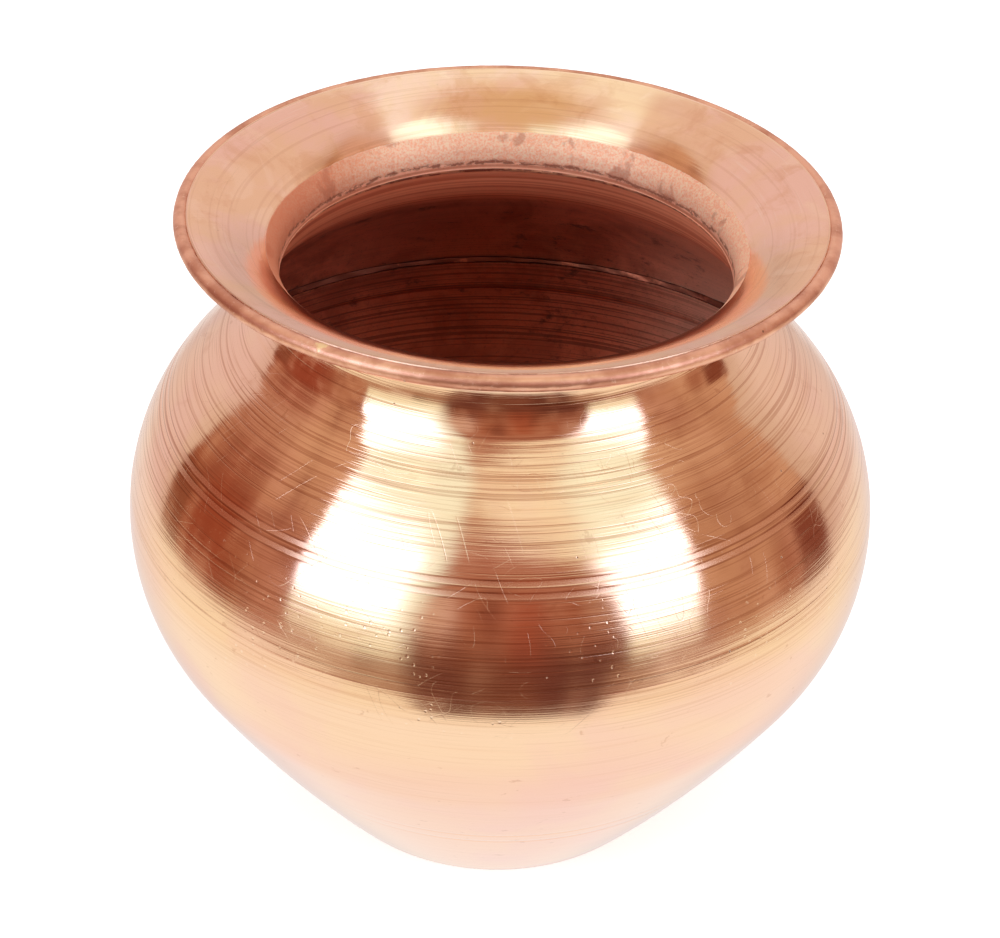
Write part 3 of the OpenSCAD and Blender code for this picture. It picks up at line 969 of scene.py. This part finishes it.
def light_the_studio():
    """A light tent: two tall soft boxes in front, with a dark room between them.

    Azimuth 0 is in front and grows to the right. The camera itself sees plain white.
    """
    world = bpy.data.worlds.new("studio")
    bpy.context.scene.world = world
    world.use_nodes = True
    bench = Bench(world.node_tree)
    way_out = bench.node("TexCoord")
    x, y, z = bench.parts(way_out)
    azimuth = bench.node("Math", {"operation": "ARCTAN2"}, {0: x, 1: 0 - y}) * (180 / math.pi)
    height = bench.node("Math", {"operation": "ARCSINE"}, {0: z}) * (180 / math.pi)
    side = abs(azimuth)
    nadir = -90

    def region(left, right, low, high, soft=1.5, rise=1.5):
        """1 in a range of directions, with edges that are soft in azimuth and rise in height."""
        return bench.window(azimuth, left, right, soft) * bench.window(height, low, high, rise)

    def climb(low, high, first, second):
        """Turns from the first colour to the second between two heights."""
        return bench.mix(bench.step(height, low, high), first, second)

    def hung(light, things):
        """Lays each thing over the light: how strongly, where, and as what colour."""
        for strength, where, colour in things:
            light = bench.mix(region(*where) * strength, light, mirrored(*colour))
        return light

    # The tent's walls, darker far behind the pot, and its roof.
    light = bench.mix(bench.step(side, 112, 128), mirrored(210, 158, 126), mirrored(228, 176, 148))
    low_down = 1 - bench.step(height, 5, 25)
    light = bench.mix(bench.step(side, 138, 172) * low_down, light, mirrored(205, 158, 132))
    light = climb(55, 66, light, mirrored(236, 186, 150))
    light = climb(68, 78, light, mirrored(220, 165, 120))
    # Two long lights reach over the pot, one on each side, with sharp outer edges.
    over = bench.step(z, 0.55, 0.66)
    ahead = (0 - y) / z
    for way in (1.0, -1.0):
        beyond = x / z * way - 0.58 - 0.80 * ahead - 0.33 * ahead * ahead
        strip = bench.step(beyond, -0.30, -0.06) * (1 - bench.step(beyond, -0.03, 0.01))
        light = bench.mix(strip * over * 0.9, light, mirrored(255, 222, 186))
    # The things that stand in the room show in the dark gaps as blurred shapes.
    clutter = bench.noise(bench.scaled(way_out, (1, 1, 0.4)), 6.5, 3.0, 0.55, 0.3)
    shady = (1 - bench.step(clutter, 0.38, 0.48)) * 0.40
    sunny = bench.step(clutter, 0.53, 0.63) * 0.32
    # The gap on the left.
    left_gap = climb(8, 46, mirrored(157, 83, 55), mirrored(204, 138, 100))
    left_gap = bench.mix(bench.window(azimuth, -105, -85, 6) * (1 - bench.step(height, 10, 40)), left_gap,
                         mirrored(147, 66, 42))
    left_gap = bench.mix(bench.step(azimuth, -82, -76) * (1 - bench.step(height, 20, 46)), left_gap,
                         mirrored(178, 108, 76))
    left_gap = bench.mix(region(-117, -107, nadir, 6, 1, 3), left_gap, mirrored(136, 71, 47))
    left_gap = bench.mix(shady, left_gap, mirrored(124, 54, 36))
    left_gap = bench.mix(sunny, left_gap, mirrored(222, 152, 112))
    light = bench.mix(region(-117, -50, nadir, 56, 1.0, 4), light, left_gap)
    # The gap on the right.
    right_gap = climb(-4, 14, mirrored(168, 98, 68), mirrored(192, 126, 90))
    right_gap = bench.mix(bench.window(azimuth, 62, 87, 3), right_gap, mirrored(190, 124, 88))
    right_gap = climb(36, 50, right_gap, mirrored(214, 152, 112))
    right_gap = bench.mix(region(98, 112, nadir, 8, 1, 3), right_gap, mirrored(126, 62, 42))
    right_gap = bench.mix(shady * 0.7, right_gap, mirrored(136, 70, 46))
    right_gap = bench.mix(sunny * 0.7, right_gap, mirrored(228, 162, 122))
    light = bench.mix(region(50, 112, nadir, 56, 1.0, 4), light, right_gap)
    # Between the boxes: the dark room below, warmer and lighter as it goes up.
    room = climb(-12, 20, mirrored(112, 60, 42), mirrored(160, 86, 58))
    room = climb(24, 38, room, mirrored(172, 102, 74))
    room = climb(47.5 - 0.3 * azimuth, 54.5 - 0.3 * azimuth, room, mirrored(250, 208, 164))
    room = hung(room, [
        (0.5, (-21, -8, 44, 58, 3, 4), (206, 144, 108)),
        (0.7, (-30, -12, 8, 27, 3, 4), (224, 168, 134))])
    room = climb(58, 66, room, mirrored(232, 176, 132))
    room = hung(room, [
        (0.6, (-4, 2, 10, 28, 3, 4), (132, 68, 48)),
        (0.5, (3, 13, -3, 26, 3, 4), (166, 74, 46)),
        (0.7, (-25, -10, nadir, -9, 2, 4), (112, 60, 44)),
        (0.7, (17, 33, nadir, 2, 2, 4), (98, 52, 38)),
        (0.3, (-3, 12, -26, -12, 3, 3), (150, 84, 56)),
        (0.4, (26, 36, 10, 45, 3, 6), (206, 150, 116))])
    room = bench.mix(shady * (1 - bench.step(height, 25, 40)), room, mirrored(94, 44, 32))
    room = bench.mix(sunny * 0.8, room, mirrored(206, 140, 104))
    light = bench.mix(region(-40, 45, nadir, 68, 1.5, 5), light, room)
    # The soft boxes: their edges lean outwards as they go up, and they fade golden above and below.
    lean = bench.step(height, 0, 62)
    flung = bench.step(height, 50, 64)
    left_box = bench.step(azimuth, -62 - 8 * lean - 24 * flung, -60 - 8 * lean - 24 * flung) * (
        1 - bench.step(azimuth, -30 + 9 * lean, -21 + 9 * lean))
    right_box = bench.step(azimuth, 36 - 12 * lean, 39 + 4 * lean) * (
        1 - bench.step(azimuth, 58 + 14 * lean + 18 * flung, 61 + 14 * lean + 18 * flung))
    box_top = bench.window(height, -7, 74, 4)
    box_light = climb(-2, 10, mirrored(248, 212, 166), mirrored(254, 234, 197))
    box_light = climb(42, 50, box_light, mirrored(252, 228, 188))
    box_core = rgb(2.6, 3.0, 3.8)
    inner_edge = 1 - bench.step(azimuth, -37 + 4 * lean, -26 + 4 * lean)
    left_light = bench.mix(bench.window(height, 11, 46, 6) * inner_edge, box_light, box_core)
    right_light = bench.mix(bench.window(height, 7, 40, 5), box_light, box_core)
    near_roof = bench.window(height, 60, 70, 4)
    roof_core = rgb(1.7, 1.9, 1.75)
    left_light = bench.mix(near_roof * bench.window(azimuth, -90, -44, 6), left_light, roof_core)
    right_light = bench.mix(near_roof * bench.window(azimuth, 50, 90, 6), right_light, roof_core)
    light = bench.mix(left_box * box_top, light, left_light)
    light = bench.mix(right_box * box_top, light, right_light)
    # The white table. Its far edge is nearest in front, where the dark room reaches lowest.
    front = bench.window(azimuth, -24, 31, 6)
    under_boxes = bench.window(azimuth, -48, 44, 6)
    table_edge = -17 - 8.5 * front - 5 * under_boxes
    below_boxes = region(-64, 64, -30, -11, 3, 3)
    light = bench.mix(below_boxes * (1 - front) * 0.9, light, mirrored(178, 120, 86))
    table = 1 - bench.step(height, table_edge - 2, table_edge + 2)
    table_light = climb(-40, -28, mirrored(253, 213, 179), mirrored(251, 207, 164))
    table_light = climb(-80, -52, mirrored(250, 205, 179), table_light)
    behind = bench.step(side, 105, 160) * bench.step(height, -68, -46)
    table_light = bench.mix(behind, table_light, mirrored(234, 188, 160))
    steep = 1 - bench.step(height, -62, -50)
    table_light = bench.mix(bench.step(side, 95, 125) * steep * 0.8, table_light, mirrored(249, 202, 174))
    light = bench.mix(table, light, table_light)

    seen = bench.node("LightPath")
    shown = bench.mix(seen, light, rgb(1.0, 1.0, 1.0))
    background = bench.node("Background", {}, {"Color": shown, "Strength": 1.0})
    bench.node("OutputWorld", {}, {"Surface": background})


def lay_the_table():
    """A wide white table top, with a soft glow of its own so that only a faint shadow shows."""
    half = 12.0
    corners = [(-half, -half, 0), (half, -half, 0), (half, half, 0), (-half, half, 0)]
    mesh = bpy.data.meshes.new("table_top")
    mesh.from_pydata(corners, [], [(0, 1, 2, 3)])
    table = bpy.data.objects.new("table_top", mesh)
    table.location.z = -0.05 * MM
    bpy.context.scene.collection.objects.link(table)
    material, bench = new_material("white_table")
    grain = bench.noise(bench.place(), 30.0, 2.0)
    tone = bench.mix(grain, rgb(0.86, 0.86, 0.86), rgb(0.90, 0.90, 0.90))
    surface(bench, base_color=tone, roughness=0.9, emission_color=rgb(1, 1, 1), emission_strength=0.55)
    mesh.materials.append(material)
    table.visible_glossy = False


def set_the_camera():
    """In front of the pot, looking down into its mouth."""
    aim = Vector((0, 0, 74.9 * MM))
    rise = math.radians(33.95)
    distance = 502.7 * MM
    back = Vector((0, -math.cos(rise), math.sin(rise)))
    camera = bpy.data.cameras.new("camera")
    camera.sensor_width = 36.0
    camera.lens = 89.2
    camera.shift_x = -0.0011
    camera.shift_y = 0.0005
    camera.clip_start = 0.01
    view = bpy.data.objects.new("camera", camera)
    turn = back.to_track_quat("Z", "Y").to_matrix().to_4x4() @ Matrix.Rotation(math.radians(1.6), 4, "Z")
    view.matrix_world = Matrix.Translation(aim + back * distance) @ turn
    bpy.context.scene.collection.objects.link(view)
    bpy.context.scene.camera = view


set_the_camera()
light_the_studio()
lay_the_table()
make_bowl()
make_shoulder()
make_mouth()
make_belly_braze()
make_neck_braze()
make_lip_braze()
make_bead()

bpy.context.scene.view_settings.view_transform = "Standard"
bpy.context.scene.view_settings.look = "None"
